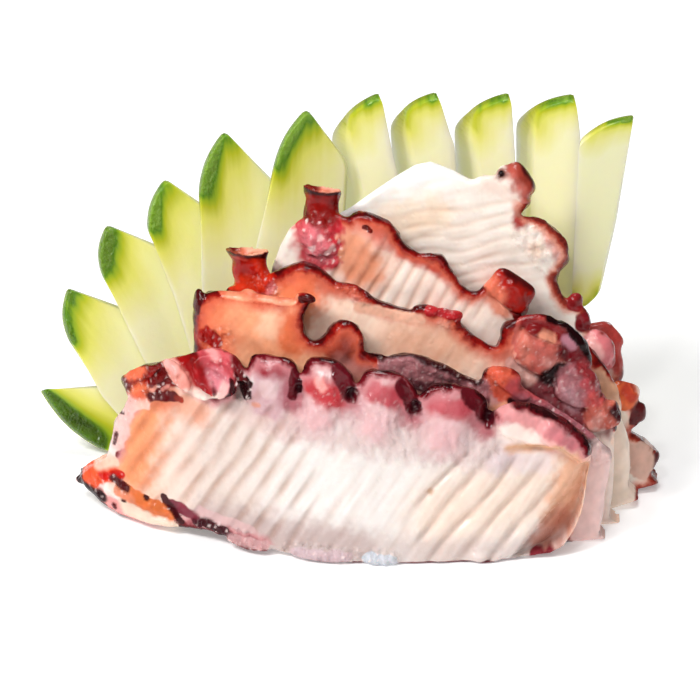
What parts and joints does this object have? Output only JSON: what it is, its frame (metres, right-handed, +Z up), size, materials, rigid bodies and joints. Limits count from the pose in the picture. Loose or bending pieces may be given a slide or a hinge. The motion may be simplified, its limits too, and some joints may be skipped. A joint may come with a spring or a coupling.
{
  "type": "cooked octopus",
  "caption": "Cooked octopus arm cut into slices with their suckers, standing in a leaning stack in front of a fan of cucumber slices.",
  "frame": {"origin": "on the table under the middle of the object's box", "axes": "+X to the right along the front slice, +Y from the front slice back to the cucumber, +Z up from the table"},
  "size_m": [0.0938, 0.0538, 0.0555],
  "materials": {
    "octopus": "wet boiled flesh, white inside, orange to dark red skin",
    "cucumber": "moist cut flesh with green rind at the tip"
  },
  "bodies": {
    "root": {"octopus_slice_1": "octopus", "octopus_slice_2": "octopus", "octopus_slice_3": "octopus", "octopus_slice_4": "octopus", "octopus_slice_5": "octopus", "octopus_slice_6": "octopus", "cucumber_slice_01": "cucumber", "cucumber_slice_02": "cucumber", "cucumber_slice_03": "cucumber", "cucumber_slice_04": "cucumber", "cucumber_slice_05": "cucumber", "cucumber_slice_06": "cucumber", "cucumber_slice_07": "cucumber", "cucumber_slice_08": "cucumber", "cucumber_slice_09": "cucumber", "cucumber_slice_10": "cucumber", "cucumber_slice_11": "cucumber"}
  },
  "joints": []
}
